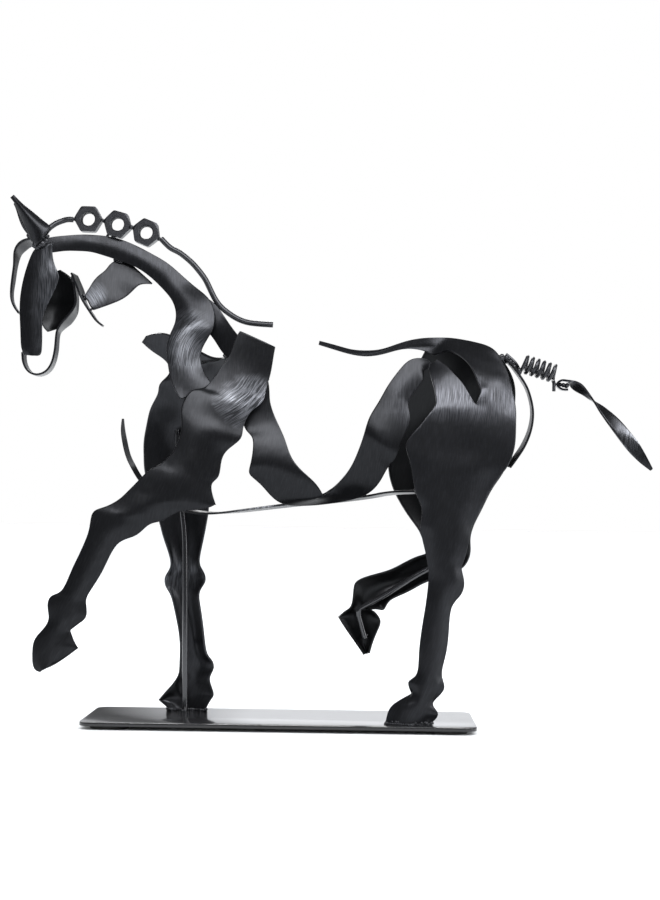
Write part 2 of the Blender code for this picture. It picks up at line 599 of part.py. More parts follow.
def set_origin():
    """Move the statue so that the middle of its box's underside is at the origin."""
    bpy.context.view_layer.update()
    graph = bpy.context.evaluated_depsgraph_get()
    corners = []
    for thing in bpy.data.objects:
        shown = thing.evaluated_get(graph)
        mesh = shown.to_mesh()
        corners.extend(shown.matrix_world @ vert.co for vert in mesh.vertices)
        shown.to_mesh_clear()
    low = Vector([min(corner[i] for corner in corners) for i in range(3)])
    high = Vector([max(corner[i] for corner in corners) for i in range(3)])
    shift = Vector((-(low.x + high.x) / 2, -(low.y + high.y) / 2, -low.z))
    for thing in bpy.data.objects:
        thing.location = shift


clear_scene()
base_plate()
rubber_feet()
near_foreleg()
far_foreleg()
near_haunch()
far_haunch()
flank_ribbon()
neck()
withers_strap()
throat_strap()
throat_bar()
mane_wires(mane_nuts())
face_plate()
cheek_plate()
head_strips()
ears()
belly_strip()
tail_loop()
tail_ribbon(tail_spring())
support_rod()
hind_leg_rod()
set_origin()
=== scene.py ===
import math

import bmesh
import bpy
from mathutils import Matrix, Vector, noise
from mathutils.bvhtree import BVHTree


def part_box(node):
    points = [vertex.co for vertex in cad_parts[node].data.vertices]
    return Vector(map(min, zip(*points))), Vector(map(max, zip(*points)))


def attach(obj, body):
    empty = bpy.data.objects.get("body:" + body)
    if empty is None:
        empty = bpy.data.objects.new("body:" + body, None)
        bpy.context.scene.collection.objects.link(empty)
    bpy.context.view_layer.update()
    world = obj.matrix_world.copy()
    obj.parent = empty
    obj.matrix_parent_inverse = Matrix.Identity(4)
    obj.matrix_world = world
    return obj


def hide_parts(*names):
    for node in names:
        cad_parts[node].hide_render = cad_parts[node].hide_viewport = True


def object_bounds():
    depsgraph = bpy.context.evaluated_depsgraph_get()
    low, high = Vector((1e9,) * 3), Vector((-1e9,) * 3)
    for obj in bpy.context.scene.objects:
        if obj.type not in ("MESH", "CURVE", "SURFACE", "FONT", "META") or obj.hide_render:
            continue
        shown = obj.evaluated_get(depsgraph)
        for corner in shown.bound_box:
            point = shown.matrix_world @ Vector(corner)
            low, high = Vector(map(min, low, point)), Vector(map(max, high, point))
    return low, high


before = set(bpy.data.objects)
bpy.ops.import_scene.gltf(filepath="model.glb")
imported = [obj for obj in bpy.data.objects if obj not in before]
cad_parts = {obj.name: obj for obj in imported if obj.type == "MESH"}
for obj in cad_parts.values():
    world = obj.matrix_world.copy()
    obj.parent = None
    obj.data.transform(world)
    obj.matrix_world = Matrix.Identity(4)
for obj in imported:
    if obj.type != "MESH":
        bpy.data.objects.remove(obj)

CAD_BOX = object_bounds()
MM = 0.001

# The photograph: its size, the point its camera looks straight at, its distance and its roll, and
# where its axis meets the horse's middle plane, from the plate's centre and upper face
PHOTO_WIDTH, PHOTO_HEIGHT = 660, 900
PHOTO_AXIS = (365.1, 510.2)
METRES_PER_PIXEL = 0.0004
CAMERA_DISTANCE = 0.774
CAMERA_ROLL = 0.015
SENSOR = 36.0
AXIS_FROM_PLATE = (0.0324, 0.0832)

# How bright the dim room, its darkest part behind the statue and the white panel there are in the
# statue's reflections, the light of the white room on the floor, and how far the floor reaches
# toward the camera and to the other sides
ROOM = 0.22
DARKEST = ROOM * 0.4
PANEL = 0.98
FLOOR_LIGHT = 2.4
FLOOR_FRONT = -0.5
FLOOR_REACH = 8.0

# Relief left by the hammer and the rollers: its heights, and its lengths in millimetres
DENT = 0.06 * MM
WAVE = 0.12 * MM
DENT_LENGTH = 3.6
WAVE_LENGTH = 14

# How hard a cut edge stays (1 is sharp), how far a sheet's corners are rounded, and the lengths
# under which an edge runs through a sheet's thickness and over which it runs along the sheet
CUT_EDGE_HARDNESS = 0.55
SHEET_CORNER = 0.9 * MM
THROUGH_SHEET = 1.2 * MM
ALONG_SHEET = 1.3 * MM

# Angles from which an edge between two faces stays sharp, and from which it gets a rounding, and
# the widths of that rounding
SHARP = math.radians(55)
ROUNDED = math.radians(48)
PLATE_EDGE = 0.12 * MM
WIRE_EDGE = 0.2 * MM
FOOT_EDGE = 0.25 * MM

# Grain in millimetres of abrasive of about grit 100, and of the lacquer's orange peel
GRIT = 0.16
ORANGE_PEEL = 0.9

# Colours of the lacquer film, of scratches in it and of the ground metal under it, which is lighter
# as a painted highlight, then a stroke centre so far off that the strokes look straight, and a
# ground spot with its painted highlight that is off every piece
GROUND_AND_HIGHLIGHT_TONES = ("191a1d", "242529", "505257")
STRAIGHT = (-420, 160)
NO_SPOT = (140, 160, 2, 2)

# The bought nuts: their thread and countersink, the chamfer's slope, and the shares that it
# leaves of the radius to a flat and to a corner
THREAD_PITCH = 1.0 * MM
THREAD_DEPTH = 0.35 * MM
THREAD_IN_BORE = 0.1 * MM
COUNTERSINK = 0.45 * MM
CHAMFER = math.radians(30)
FLAT_SHARE = 0.95
CORNER_SHARE = 0.975

# Sizes of a weld droplet and of a knot of weld, how far a weld reaches between two pieces, the
# steps in which its places are sought, and the room between two, as a share of their size
DROPLET = 0.62 * MM
KNOT = 1.15 * MM
WELD_REACH = 4.2 * MM
WELD_STEP = 0.4 * MM
WELD_ROOM = 1.1


def srgb(code):
    """A linear colour with alpha from an sRGB hex value."""
    parts = [int(code[i:i + 2], 16) / 255 for i in (0, 2, 4)]
    return (*[p / 12.92 if p <= 0.04045 else ((p + 0.055) / 1.055) ** 2.4 for p in parts], 1.0)


def add_node(tree, kind, settings=None, **inputs):
    """Adds a node; inputs are values or sockets to link, by the input's name or number."""
    node = tree.nodes.new(kind)
    for key, value in (settings or {}).items():
        setattr(node, key, value)
    for key, value in inputs.items():
        place = int(key[1:]) if key[0] == "n" and key[1:].isdigit() else key.replace("_", " ")
        socket = node.inputs[place]
        if isinstance(value, bpy.types.NodeSocket):
            tree.links.new(value, socket)
        else:
            socket.default_value = value
    return node


def new_material(name):
    material = bpy.data.materials.new(name)
    material.use_nodes = True
    return material, material.node_tree, material.node_tree.nodes["Principled BSDF"]


def millimetres(tree):
    """Object coordinates counted in millimetres."""
    place = add_node(tree, "ShaderNodeTexCoord").outputs["Object"]
    return add_node(tree, "ShaderNodeVectorMath", {"operation": "SCALE"},
                    n0=place, Scale=1 / MM).outputs["Vector"]


def strokes_about(tree, place, centre, spacing, length):
    """Grinder strokes as arcs about a centre in the side view, as a height from 0 to 1.

    centre is (x, z) and all sizes are in millimetres. The arcs wander a little from the circle.
    """
    parts = add_node(tree, "ShaderNodeSeparateXYZ", n0=place)
    across = add_node(tree, "ShaderNodeMath", {"operation": "SUBTRACT"},
                      n0=parts.outputs["X"], n1=centre[0])
    upward = add_node(tree, "ShaderNodeMath", {"operation": "SUBTRACT"},
                      n0=parts.outputs["Z"], n1=centre[1])
    flat = add_node(tree, "ShaderNodeCombineXYZ", X=across.outputs[0], Y=upward.outputs[0])
    wander = add_node(tree, "ShaderNodeTexNoise", n0=place, Scale=0.07, Detail=1.0)
    radius = add_node(tree, "ShaderNodeVectorMath", {"operation": "LENGTH"}, n0=flat.outputs[0])
    wandering = add_node(tree, "ShaderNodeMath", {"operation": "MULTIPLY_ADD"},
                         n0=wander.outputs["Fac"], n1=3.0, n2=radius.outputs["Value"])
    angle = add_node(tree, "ShaderNodeMath", {"operation": "ARCTAN2"},
                     n0=upward.outputs[0], n1=across.outputs[0])
    arc = add_node(tree, "ShaderNodeMath", {"operation": "MULTIPLY"}, n0=angle.outputs[0],
                   n1=radius.outputs["Value"])
    along = add_node(tree, "ShaderNodeMath", {"operation": "DIVIDE"}, n0=arc.outputs[0], n1=length)
    lane = add_node(tree, "ShaderNodeMath", {"operation": "DIVIDE"},
                    n0=wandering.outputs[0], n1=spacing)
    polar = add_node(tree, "ShaderNodeCombineXYZ", X=lane.outputs[0], Y=along.outputs[0])
    return add_node(tree, "ShaderNodeTexNoise", n0=polar.outputs[0], Scale=1.0, Detail=2.0,
                    Roughness=0.6).outputs["Fac"]


def ground_and_highlight_spot(tree, place, spot):
    """How much a place is ground and painted with a highlight: 1 inside an oval spot, 0 outside it.

    spot is the oval's x, z, half width and half height in millimetres.
    """
    x, z, half_width, half_height = spot
    ragged = add_node(tree, "ShaderNodeTexNoise", n0=place, Scale=0.25, Detail=3.0)
    parts = add_node(tree, "ShaderNodeSeparateXYZ", n0=place)
    across = add_node(tree, "ShaderNodeMapRange", {"clamp": False}, Value=parts.outputs["X"],
                      From_Min=x, From_Max=x + half_width)
    upward = add_node(tree, "ShaderNodeMapRange", {"clamp": False}, Value=parts.outputs["Z"],
                      From_Min=z, From_Max=z + half_height)
    flat = add_node(tree, "ShaderNodeCombineXYZ", X=across.outputs[0], Y=upward.outputs[0])
    away = add_node(tree, "ShaderNodeVectorMath", {"operation": "LENGTH"}, n0=flat.outputs[0])
    reach = add_node(tree, "ShaderNodeMath", {"operation": "MULTIPLY_ADD"},
                     n0=ragged.outputs["Fac"], n1=0.6, n2=away.outputs["Value"])
    return add_node(tree, "ShaderNodeMapRange", Value=reach.outputs[0], From_Min=0.6, From_Max=1.5,
                    To_Min=1.0, To_Max=0.0).outputs["Result"]


def ground_lacquered_steel_with_painted_light(name, centre, spacing, depth, spot, tones, roughness=0.25):
    """Mild steel sheet, ground with a flap disc in one spot and sprayed with thin black lacquer.

    The eye sees a near black metal with fine scratches; in the spot the colour turns to grey metal
    as a painted highlight, which breaks into curved strokes. tones are the sRGB colours of the
    film, of scratches in it and of the ground spot's painted highlight; the film is made darker or
    lighter piece by piece as painted shade and light.
    """
    material, tree, shader = new_material(name)
    place = millimetres(tree)
    strokes = strokes_about(tree, place, centre, spacing, 8.0)
    scratches = strokes_about(tree, place, (STRAIGHT[0], 190), 0.45, 5.0)
    ground_and_highlit = ground_and_highlight_spot(tree, place, spot)
    cloud = add_node(tree, "ShaderNodeTexNoise", n0=place, Scale=0.09, Detail=3.0).outputs["Fac"]
    grit = add_node(tree, "ShaderNodeTexNoise", n0=place, Scale=1 / GRIT, Detail=2.0).outputs["Fac"]
    peel = add_node(tree, "ShaderNodeTexNoise", n0=place, Scale=1 / ORANGE_PEEL,
                    Detail=1.0).outputs["Fac"]
    scratched = add_node(tree, "ShaderNodeMapRange", Value=scratches, From_Min=0.45, From_Max=0.75)
    film = add_node(tree, "ShaderNodeMix", {"data_type": "RGBA"},
                    Factor=scratched.outputs["Result"])
    film.inputs["A"].default_value = srgb(tones[0])
    film.inputs["B"].default_value = srgb(tones[1])
    bare = add_node(tree, "ShaderNodeMapRange", Value=strokes, From_Min=0.43, From_Max=0.58,
                    To_Min=0.1)
    # Painted highlight: inside the spot the strokes turn the film's colour to the light grey of
    # tones[2]
    bright = add_node(tree, "ShaderNodeMath", {"operation": "MULTIPLY"},
                      n0=bare.outputs["Result"], n1=ground_and_highlit)
    colour = add_node(tree, "ShaderNodeMix", {"data_type": "RGBA"}, Factor=bright.outputs[0])
    tree.links.new(film.outputs["Result"], colour.inputs["A"])
    colour.inputs["B"].default_value = srgb(tones[2])
    tree.links.new(colour.outputs["Result"], shader.inputs["Base Color"])
    shader.inputs["Metallic"].default_value = 0.9
    rough = add_node(tree, "ShaderNodeMath", {"operation": "MULTIPLY_ADD"},
                     n0=cloud, n1=0.12, n2=roughness)
    tree.links.new(rough.outputs[0], shader.inputs["Roughness"])
    shader.inputs["Coat Weight"].default_value = 0.15
    shader.inputs["Coat Roughness"].default_value = 0.28
    lift = add_node(tree, "ShaderNodeMath", {"operation": "MULTIPLY"}, n0=strokes, n1=ground_and_highlit)
    bump = add_node(tree, "ShaderNodeBump", Strength=depth, Distance=0.11 * MM,
                    Height=lift.outputs[0])
    cross = add_node(tree, "ShaderNodeBump", Strength=0.25, Distance=0.02 * MM, Height=scratches,
                     Normal=bump.outputs[0])
    fine = add_node(tree, "ShaderNodeBump", Strength=0.2, Distance=0.012 * MM, Height=grit,
                    Normal=cross.outputs[0])
    skin = add_node(tree, "ShaderNodeBump", Strength=0.25, Distance=0.02 * MM, Height=peel,
                    Normal=fine.outputs[0])
    tree.links.new(skin.outputs[0], shader.inputs["Normal"])
    return material


def drawn_and_lacquered_wire(name, roughness, coat):
    """Drawn mild steel wire and bought nuts under the same lacquer: no strokes, a fine grain.

    The eye sees a soft gleam along thin wire and a narrower, brighter line along a smooth rod.
    """
    material, tree, shader = new_material(name)
    place = millimetres(tree)
    cloud = add_node(tree, "ShaderNodeTexNoise", n0=place, Scale=0.45, Detail=3.0).outputs["Fac"]
    grit = add_node(tree, "ShaderNodeTexNoise", n0=place, Scale=1 / GRIT, Detail=2.0).outputs["Fac"]
    colour = add_node(tree, "ShaderNodeMix", {"data_type": "RGBA"}, Factor=cloud)
    colour.inputs["A"].default_value = srgb("1f2023")
    colour.inputs["B"].default_value = srgb("303135")
    tree.links.new(colour.outputs["Result"], shader.inputs["Base Color"])
    shader.inputs["Metallic"].default_value = 0.85
    rough = add_node(tree, "ShaderNodeMath", {"operation": "MULTIPLY_ADD"},
                     n0=cloud, n1=0.6 * roughness, n2=roughness)
    tree.links.new(rough.outputs[0], shader.inputs["Roughness"])
    shader.inputs["Coat Weight"].default_value = coat
    shader.inputs["Coat Roughness"].default_value = roughness
    bump = add_node(tree, "ShaderNodeBump", Strength=0.4, Distance=0.02 * MM, Height=grit)
    tree.links.new(bump.outputs[0], shader.inputs["Normal"])
    return material


def sprayed_plate_paint():
    """Flat steel plate under smooth black spray paint, which mirrors pale surroundings.

    The paint is thin on the cut sides, so the eye sees them as a darker line below a bright top.
    """
    material, tree, shader = new_material("black_spray_painted_plate")
    place = millimetres(tree)
    peel = add_node(tree, "ShaderNodeTexNoise", n0=place, Scale=0.8, Detail=2.0).outputs["Fac"]
    dust = add_node(tree, "ShaderNodeTexNoise", n0=place, Scale=0.05, Detail=4.0).outputs["Fac"]
    shader.inputs["Base Color"].default_value = srgb("131315")
    rough = add_node(tree, "ShaderNodeMath", {"operation": "MULTIPLY_ADD"},
                     n0=dust, n1=0.08, n2=0.16)
    tree.links.new(rough.outputs[0], shader.inputs["Roughness"])
    height = add_node(tree, "ShaderNodeSeparateXYZ", n0=place).outputs["Z"]
    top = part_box("base_plate")[1][2] / MM
    covered = add_node(tree, "ShaderNodeMapRange", Value=height, From_Min=top - 0.12,
                       From_Max=top - 0.02)
    tree.links.new(covered.outputs["Result"], shader.inputs["Coat Weight"])
    shader.inputs["Coat Roughness"].default_value = 0.12
    bump = add_node(tree, "ShaderNodeBump", Strength=0.15, Distance=0.01 * MM, Height=peel)
    tree.links.new(bump.outputs[0], shader.inputs["Normal"])
    return material


def moulded_rubber():
    """Moulded black rubber: matt, with a faint mould grain."""
    material, tree, shader = new_material("black_moulded_rubber")
    place = millimetres(tree)
    grain = add_node(tree, "ShaderNodeTexNoise", n0=place, Scale=3.0, Detail=3.0).outputs["Fac"]
    colour = add_node(tree, "ShaderNodeMix", {"data_type": "RGBA"}, Factor=grain)
    colour.inputs["A"].default_value = srgb("131313")
    colour.inputs["B"].default_value = srgb("212121")
    tree.links.new(colour.outputs["Result"], shader.inputs["Base Color"])
    shader.inputs["Roughness"].default_value = 0.8
    bump = add_node(tree, "ShaderNodeBump", Strength=0.4, Distance=0.03 * MM, Height=grain)
    tree.links.new(bump.outputs[0], shader.inputs["Normal"])
    return material


def plain_mesh(thing):
    """The evaluated mesh of an object, which is then removed."""
    graph = bpy.context.evaluated_depsgraph_get()
    mesh = bpy.data.meshes.new_from_object(thing.evaluated_get(graph))
    bpy.data.objects.remove(thing, do_unlink=True)
    return mesh


def shown(name, mesh):
    thing = bpy.data.objects.new(name, mesh)
    bpy.context.scene.collection.objects.link(thing)
    return thing


def eased(mesh):
    """Spreads each bend of a sheet over its neighbours, moving points in depth only."""
    beside = {vert.index: [] for vert in mesh.vertices}
    for first, second in (edge.vertices for edge in mesh.edges):
        if (mesh.vertices[first].co - mesh.vertices[second].co).length > ALONG_SHEET:
            beside[first].append(second)
            beside[second].append(first)
    depths = [vert.co.y for vert in mesh.vertices]
    for vert in mesh.vertices:
        if len(beside[vert.index]) > 2:
            mean = sum(depths[other] for other in beside[vert.index]) / len(beside[vert.index])
            vert.co.y += (mean - vert.co.y) * 0.5


def cage_of(node, hardness, corner):
    """A copy of a node's mesh with its triangles joined in pairs and its sharp edges creased.

    hardness 1 keeps an edge sharp, and less lets it round off a little.
    corner rounds the outline of a sheet where two of its cut edges meet.
    """
    bm = bmesh.new()
    bm.from_mesh(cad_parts[node].data)
    bmesh.ops.remove_doubles(bm, verts=bm.verts, dist=0.002 * MM)
    bmesh.ops.join_triangles(bm, faces=bm.faces, angle_face_threshold=math.radians(50),
                             angle_shape_threshold=math.radians(120))
    if corner:
        across = [edge for edge in bm.edges if edge.calc_length() < THROUGH_SHEET
                  and len(edge.link_faces) == 2 and edge.calc_face_angle() > math.radians(52)]
        bmesh.ops.bevel(bm, geom=across, offset=corner, segments=3, profile=0.5, affect="EDGES",
                        clamp_overlap=True)
    crease = bm.edges.layers.float.new("crease_edge")
    for edge in bm.edges:
        if len(edge.link_faces) == 2 and edge.calc_face_angle() > SHARP:
            edge[crease] = hardness
    mesh = bpy.data.meshes.new(node)
    bm.to_mesh(mesh)
    bm.free()
    return mesh


def fitted(mesh, rounds=4):
    """Moves the cage's corners so that its smooth surface runs through where they were."""
    target = [vert.co.copy() for vert in mesh.vertices]
    for _ in range(rounds):
        probe = shown("probe", mesh.copy())
        smooth = probe.modifiers.new("smooth", "SUBSURF")
        smooth.levels = smooth.render_levels = 1
        smooth.use_limit_surface = True
        reached = plain_mesh(probe)
        for vert, want in zip(mesh.vertices, target):
            vert.co += want - reached.vertices[vert.index].co
        bpy.data.meshes.remove(reached)
    return mesh


def subdivided(mesh, levels):
    thing = shown("cage", mesh)
    smooth = thing.modifiers.new("smooth", "SUBSURF")
    smooth.levels = smooth.render_levels = levels
    smooth.use_limit_surface = True
    return plain_mesh(thing)


def hammered(mesh, wave, dent, seed):
    """Moves a sheet's points together, front and back, by long waves and small dents."""
    for vert in mesh.vertices:
        place = vert.co / MM
        swell = noise.noise(Vector((place.x, place.z, seed)) / WAVE_LENGTH) * wave
        pit = noise.noise(Vector((place.x, place.z, seed * 3)) / DENT_LENGTH)
        vert.co.y += swell + dent * (abs(pit) - 0.25)


def rounded_edges(mesh, width):
    """Rounds the edges that are still sharp."""
    bm = bmesh.new()
    bm.from_mesh(mesh)
    sharp = [edge for edge in bm.edges
             if len(edge.link_faces) == 2 and edge.calc_face_angle() > ROUNDED]
    bmesh.ops.bevel(bm, geom=sharp, offset=width, segments=2, profile=0.5, affect="EDGES",
                    clamp_overlap=True)
    bm.to_mesh(mesh)
    bm.free()


def keep_in_cad_box(mesh):
    """Brings points that smoothing left a hair outside the CAD model's box back onto it."""
    low, high = CAD_BOX
    for vert in mesh.vertices:
        vert.co = [min(max(value, least), most) for value, least, most in zip(vert.co, low, high)]


def finished(node, mesh, material):
    """Shows a mesh as the piece that stands for a node."""
    keep_in_cad_box(mesh)
    mesh.materials.clear()
    mesh.materials.append(material)
    piece = shown(node + "_finished", mesh)
    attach(piece, "root")
    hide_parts(node)


def refined(node, material, levels, wave=0.0, dent=0.0, edge=0.0, corner=0.0, seed=1.0):
    """Shows a finely modelled piece that stands for a node."""
    mesh = cage_of(node, 1.0 if edge else CUT_EDGE_HARDNESS, corner)
    if wave:
        eased(mesh)
    if levels:
        mesh = subdivided(fitted(mesh), levels)
    if wave or dent:
        hammered(mesh, wave, dent, seed)
    if edge:
        rounded_edges(mesh, edge)
    mesh.shade_smooth()
    finished(node, mesh, material)


def hex_nut(node, material):
    """A bought hex nut: chamfered corners, a countersunk bore and a real thread."""
    places = [vert.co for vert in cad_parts[node].data.vertices]
    centre = sum(places, Vector()) / len(places)
    half = max(place.y - centre.y for place in places)
    corner_place = max(places, key=lambda place: math.hypot(place.x - centre.x,
                                                            place.z - centre.z))
    corner = math.hypot(corner_place.x - centre.x, corner_place.z - centre.z)
    turn = math.atan2(corner_place.z - centre.z, corner_place.x - centre.x)
    bore = min(math.hypot(place.x - centre.x, place.z - centre.z) for place in places)
    flat = corner * math.cos(math.pi / 6)
    face_radius = flat * FLAT_SHARE
    around = 96
    threads = 44
    bm = bmesh.new()
    columns = []
    for i in range(around):
        angle = 2 * math.pi * i / around
        from_flat = (angle % (math.pi / 3)) - math.pi / 6
        outer = min(flat / math.cos(from_flat), corner * CORNER_SHARE)
        drop = (outer - face_radius) * math.tan(CHAMFER)
        profile = [(face_radius, half), (outer, half - drop), (outer, 0), (outer, drop - half),
                   (face_radius, -half), (bore + COUNTERSINK, -half)]
        for k in range(threads + 1):
            depth = -half + 2 * half * k / threads
            turns = depth / THREAD_PITCH - angle / (2 * math.pi)
            ridge = abs(turns % 1 - 0.5) * 2
            mouth = max(0.0, abs(depth) - half + COUNTERSINK)
            thread = bore - THREAD_IN_BORE + THREAD_DEPTH * ridge
            profile.append((max(thread, bore + mouth), depth))
        profile.append((bore + COUNTERSINK, half))
        columns.append([bm.verts.new(centre + Vector((radius * math.cos(angle + turn), depth,
                                                      radius * math.sin(angle + turn))))
                        for radius, depth in profile])
    for first, second in zip(columns, columns[1:] + columns[:1]):
        for k in range(len(first)):
            bm.faces.new((first[k], first[k - 1], second[k - 1], second[k]))
    bmesh.ops.recalc_face_normals(bm, faces=bm.faces)
    mesh = bpy.data.meshes.new(node)
    bm.to_mesh(mesh)
    bm.free()
    mesh.shade_smooth()
    mesh.set_sharp_from_angle(angle=math.radians(28))
    finished(node, mesh, material)


def steel_pieces():
    """Every sheet, strip, wire and nut."""
    # Colours set piece by piece as painted light and shade: darker films as painted shade, chiefly
    # on the cheek plate and far haunch, a lighter film on the far foreleg, and light spot colours
    # as painted highlights
    tones = {
        "near_haunch": ("1a1b1e", "232428", "424348"),
        "far_haunch": ("131416", "191a1c", "26272a"),
        "near_foreleg": ("16171a", "202124", "6c6e74"),
        "far_foreleg": ("222326", "2a2b2f", "55575c"),
        "cheek_plate": ("111214", "17181a", "202124"),
        "flank_ribbon": ("151619", "202124", "36373b"),
        "throat_strap": ("131417", "1e1f22", "44464b"),
    }
    # node: its grinder strokes' centre (x, z), spacing and depth, their spot, which is laid where a
    # highlight falls and lightened there as a painted highlight, waves, dents, corners
    sheets = {
        "near_foreleg": ((-66, 161), 0.36, 1.0, (-31, 128, 13, 10), 0.15, 0.6, 1.0),
        "far_foreleg": ((-120, 60), 0.50, 0.3, (-62, 58, 8, 8), 0.6, 0.7, 1.6),
        "near_haunch": (STRAIGHT, 0.30, 0.22, (57, 130, 42, 9), 0.3, 0.6, 1.0),
        "far_haunch": ((110, 60), 0.50, 0.2, (57, 45, 6, 6), 0.6, 0.7, 1.2),
        "flank_ribbon": ((STRAIGHT[0], 150), 0.30, 0.4, (31, 128, 9, 12), 0.5, 0.7, 0.6),
        "neck": ((-38, 142), 0.34, 1.0, (-58, 152, 10, 13), 0.3, 0.6, 1.0),
        "withers_strap": ((-92, 172), 0.50, 0.2, (-20, 160, 2, 2), 0.0, 0.3, 0.5),
        "throat_strap": ((-120, 150), 0.32, 0.7, (-94, 170, 4, 5), 0.2, 0.4, 0.8),
        "face_plate": (STRAIGHT, 0.34, 0.6, (-112, 172, 7, 30), 0.2, 0.5, 1.0),
        "cheek_plate": ((-150, 160), 0.50, 0.1, (-100, 140, 2, 2), 0.2, 0.5, 1.0),
    }
    for number, (node, look) in enumerate(sheets.items(), 1):
        centre, spacing, depth, spot, wave, dent, corner = look
        steel = ground_lacquered_steel_with_painted_light(f"ground_steel_black_lacquer_painted_light_{node}", centre, spacing,
                                           depth, spot, tones.get(node, GROUND_AND_HIGHLIGHT_TONES))
        refined(node, steel, 3, WAVE * wave, DENT * dent,
                corner=SHEET_CORNER * corner, seed=7.3 * number)
    # material: its spot, lightened as a painted highlight, tones, roughness and the strips made of
    # it
    strips = {
        "ground_strip_black_lacquer": (
            NO_SPOT, GROUND_AND_HIGHLIGHT_TONES, 0.28,
            ("throat_bar", "profile_strip", "chin_strip", "near_ear", "far_ear", "tail_loop")),
        # The belly strip's film is darkened as painted shade, and its spot lightened as a painted
        # highlight
        "ground_strip_black_lacquer_belly_painted_light": (
            (-22, 88, 20, 14), ("0d0e10", "131417", "505257"), 0.28, ("belly_strip",)),
        # The tail ribbon's spot is a painted highlight on the polished strip
        "polished_strip_black_lacquer_painted_highlight": (
            (121, 117, 7, 7), ("191a1d", "242529", "5a5c61"), 0.15, ("tail_ribbon",)),
    }
    for name, (spot, colours, roughness, nodes) in strips.items():
        steel = ground_lacquered_steel_with_painted_light(name, STRAIGHT, 0.3, 0.2, spot, colours, roughness)
        for node in nodes:
            refined(node, steel, 3)
    wire = drawn_and_lacquered_wire("drawn_wire_black_lacquer", 0.30, 0.3)
    for node in ("mane_wire_front", "mane_wire_rear", "tail_spring"):
        refined(node, wire, 2, edge=WIRE_EDGE)
    rod = drawn_and_lacquered_wire("drawn_rod_gloss_black_lacquer", 0.10, 1.0)
    for node in ("support_rod", "hind_leg_rod"):
        refined(node, rod, 2, edge=WIRE_EDGE)
    for number in (1, 2, 3):
        hex_nut(f"mane_nut_{number}", wire)
    welds(wire)


# Welded pairs, with the number of droplets that each weld shows
WELDS = (
    ("mane_nut_1", "mane_nut_2", 2), ("mane_nut_2", "mane_nut_3", 2), ("mane_nut_2", "neck", 3),
    ("mane_wire_front", "mane_nut_1", 3), ("mane_wire_rear", "mane_nut_3", 3),
    ("mane_wire_front", "neck", 4), ("near_ear", "profile_strip", 4), ("near_ear", "face_plate", 4),
    ("profile_strip", "neck", 5), ("face_plate", "neck", 5), ("face_plate", "chin_strip", 2),
    ("chin_strip", "throat_bar", 3), ("throat_bar", "throat_strap", 4),
    ("cheek_plate", "chin_strip", 4), ("throat_strap", "neck", 6), ("withers_strap", "neck", 5),
    ("withers_strap", "near_foreleg", 5),
    ("near_foreleg", "neck", 4), ("far_foreleg", "withers_strap", 4), ("far_foreleg", "neck", 4),
    ("flank_ribbon", "near_foreleg", 5), ("flank_ribbon", "near_haunch", 5),
    ("far_haunch", "near_haunch", 8), ("belly_strip", "near_haunch", 3),
    ("belly_strip", "near_foreleg", 3), ("belly_strip", "flank_ribbon", 5),
    ("tail_loop", "near_haunch", 3), ("tail_loop", "far_haunch", 3),
    ("tail_spring", "tail_loop", 3), ("tail_ribbon", "tail_spring", 2),
    ("mane_wire_rear", "withers_strap", 2),
    ("support_rod", "base_plate", 4), ("far_foreleg", "base_plate", 50),
    ("near_haunch", "base_plate", 60), ("hind_leg_rod", "far_haunch", 4),
    ("support_rod", "far_foreleg", 3),
)

# Pairs joined by a thicker knot of weld, built up over a wide gap
WELD_KNOTS = (
    ("near_ear", "face_plate", 5), ("near_ear", "neck", 5), ("near_ear", "profile_strip", 3),
    ("tail_spring", "tail_loop", 9), ("near_haunch", "tail_loop", 2),
    ("far_haunch", "tail_spring", 3),
)


def weld_places(first, second, count, radius):
    """The places where two nodes come nearest each other, halfway between them and spread out."""
    tree = BVHTree.FromPolygons(*outline_of(second))
    places, faces = outline_of(first)
    near = []
    for face in faces:
        for i in range(len(face)):
            start, end = places[face[i - 1]], places[face[i]]
            pieces = max(1, round((end - start).length / WELD_STEP))
            for k in range(pieces):
                place = start.lerp(end, k / pieces)
                other, _, _, gap = tree.find_nearest(place, WELD_REACH)
                if other is not None:
                    near.append((gap, (place + other) / 2))
    near.sort(key=lambda item: (round(item[0] / (0.25 * MM)), tuple(item[1])))
    chosen = []
    for _, place in near:
        if all((place - other).length > radius * WELD_ROOM for other in chosen):
            chosen.append(place)
        if len(chosen) == count:
            break
    return chosen


def outline_of(node):
    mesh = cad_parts[node].data
    return ([vert.co.copy() for vert in mesh.vertices],
            [tuple(face.vertices) for face in mesh.polygons])


